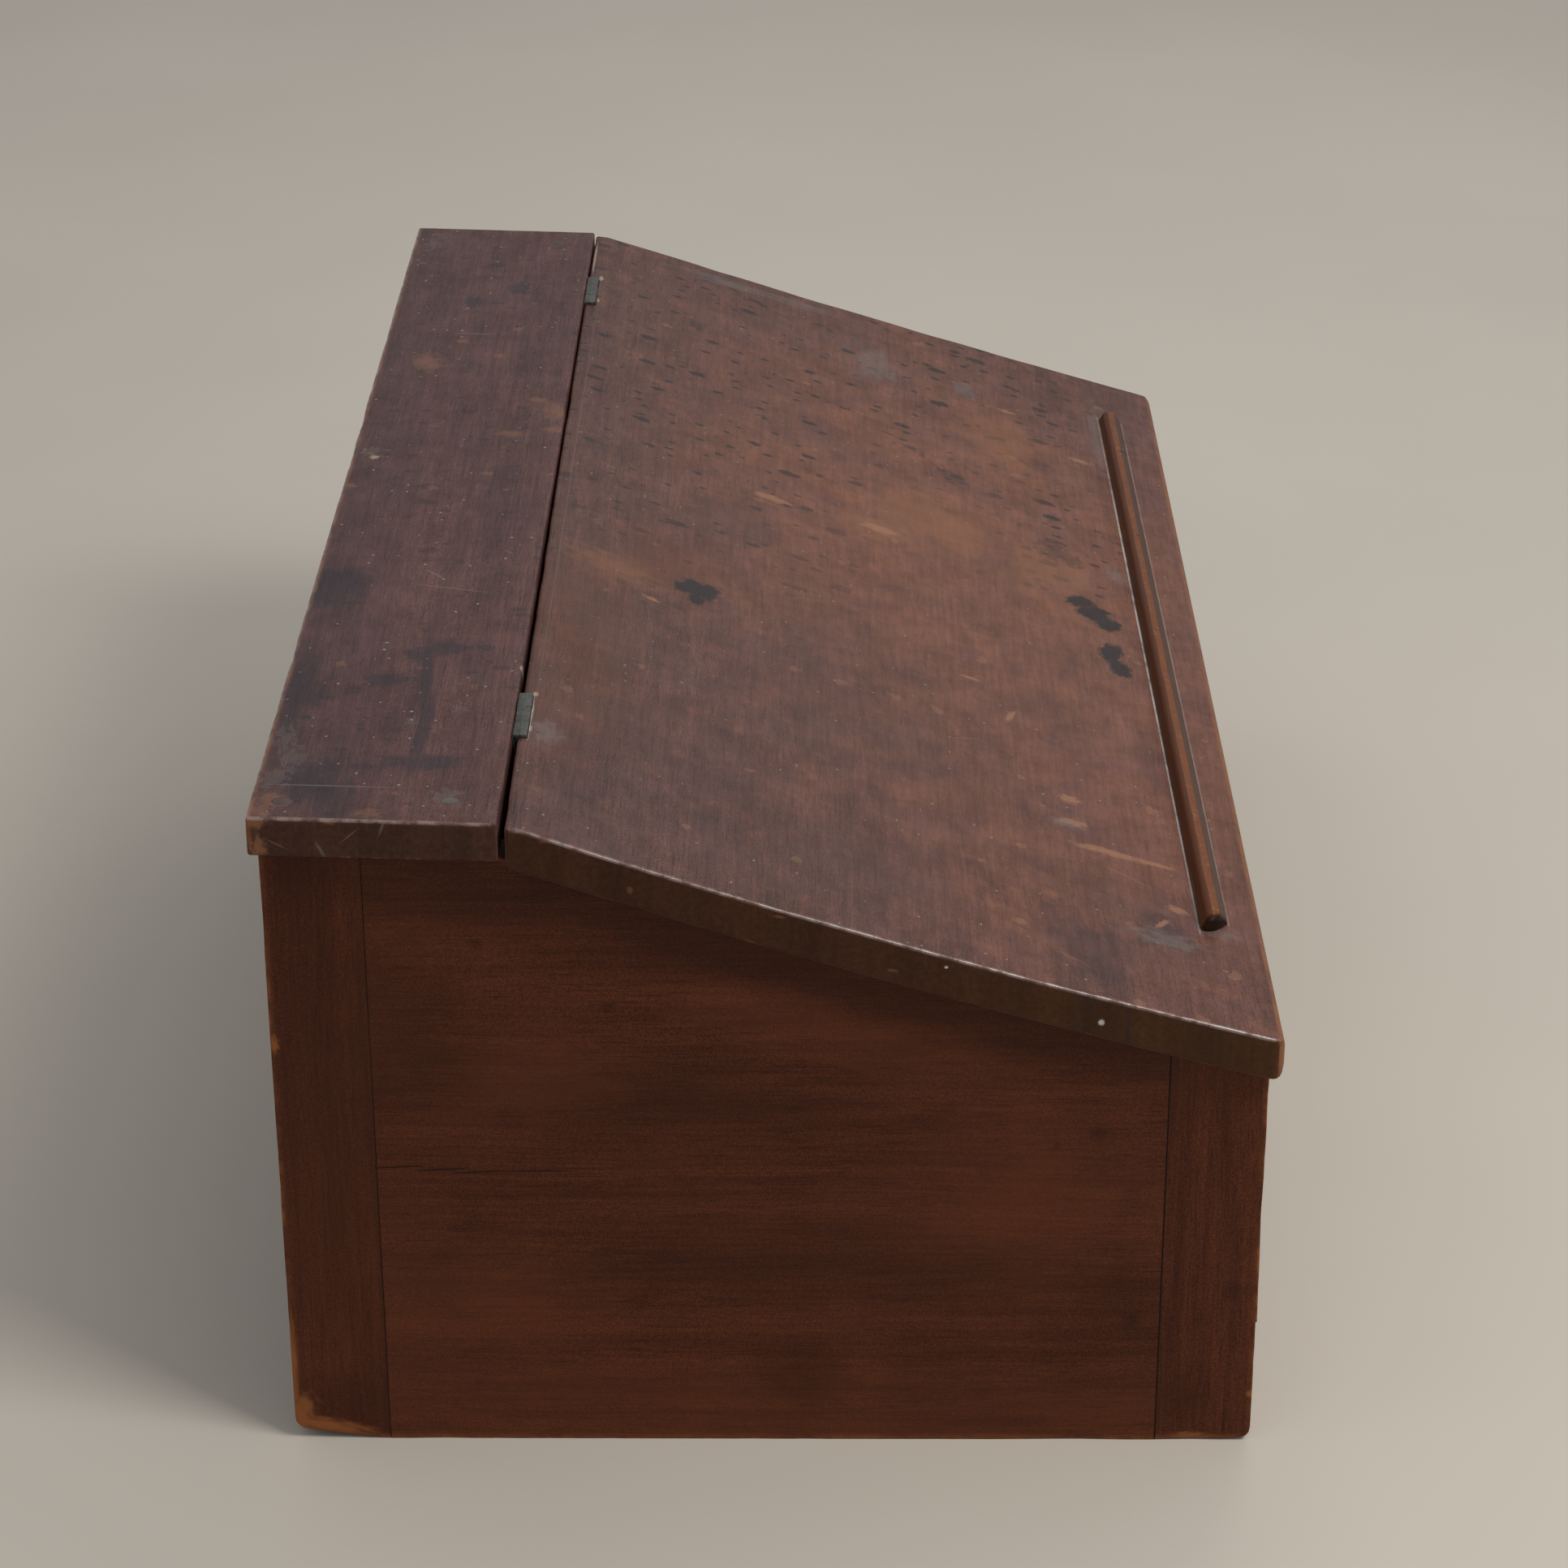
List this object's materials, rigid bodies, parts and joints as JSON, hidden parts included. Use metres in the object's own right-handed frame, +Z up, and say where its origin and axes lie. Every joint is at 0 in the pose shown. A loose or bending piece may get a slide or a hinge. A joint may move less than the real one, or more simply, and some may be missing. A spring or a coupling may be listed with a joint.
{
  "type": "clerks slope desk",
  "caption": "Boarded wooden slope desk for a clerk: a case on the floor, a fixed top board along its high rear edge and a hinged sloping lid with a pencil ledge.",
  "frame": {"origin": "on the floor under the middle of the whole desk", "axes": "+X along the desk, -Y towards the low front edge, +Z up"},
  "size_m": [1.067, 0.583, 0.421],
  "materials": {
    "case_wood": "old satin shellac, dark",
    "top_wood": "old satin shellac, ink stained",
    "lid_wood": "worn satin shellac, ink stained",
    "ledge_wood": "worn satin shellac",
    "plug_wood": "bare, dry",
    "inner_wood": "bare, aged",
    "hinge_iron": "dark, worn",
    "fastener_steel": "dull"
  },
  "bodies": {
    "case": {"left_end_panel": "case_wood", "left_front_stile": "case_wood", "left_rear_stile": "case_wood", "right_end_panel": "case_wood", "right_front_stile": "case_wood", "right_rear_stile": "case_wood", "front_board": "case_wood", "front_base_rail": "case_wood", "back_board": "case_wood", "front_bottom_cleat": "inner_wood", "rear_bottom_cleat": "inner_wood", "left_bottom_cleat": "inner_wood", "right_bottom_cleat": "inner_wood", "bottom_front_board": "inner_wood", "bottom_rear_board": "inner_wood", "left_front_corner_block": "inner_wood", "left_rear_corner_block": "inner_wood", "right_front_corner_block": "inner_wood", "right_rear_corner_block": "inner_wood", "left_hinge_top_leaf": "hinge_iron", "right_hinge_top_leaf": "hinge_iron", "left_hinge_pin": "hinge_iron", "right_hinge_pin": "hinge_iron", "bottom_nails": "fastener_steel", "cleat_screws": "fastener_steel", "top_board_screws": "fastener_steel", "hinge_top_screws": "fastener_steel", "top_board": "top_wood", "top_board_plugs": "plug_wood"},
    "lid": {"lid_board": "lid_wood", "pencil_ledge": "ledge_wood", "left_hinge_lid_leaf": "hinge_iron", "right_hinge_lid_leaf": "hinge_iron", "ledge_brads": "fastener_steel", "hinge_lid_screws": "fastener_steel"}
  },
  "joints": [
    {"name": "lid_hinge", "type": "hinge", "parent": "case", "child": "lid", "pos_m": [0, 0.14745, 0.41425], "axis": [-1, 0, 0], "range_deg": [0, 150]}
  ]
}
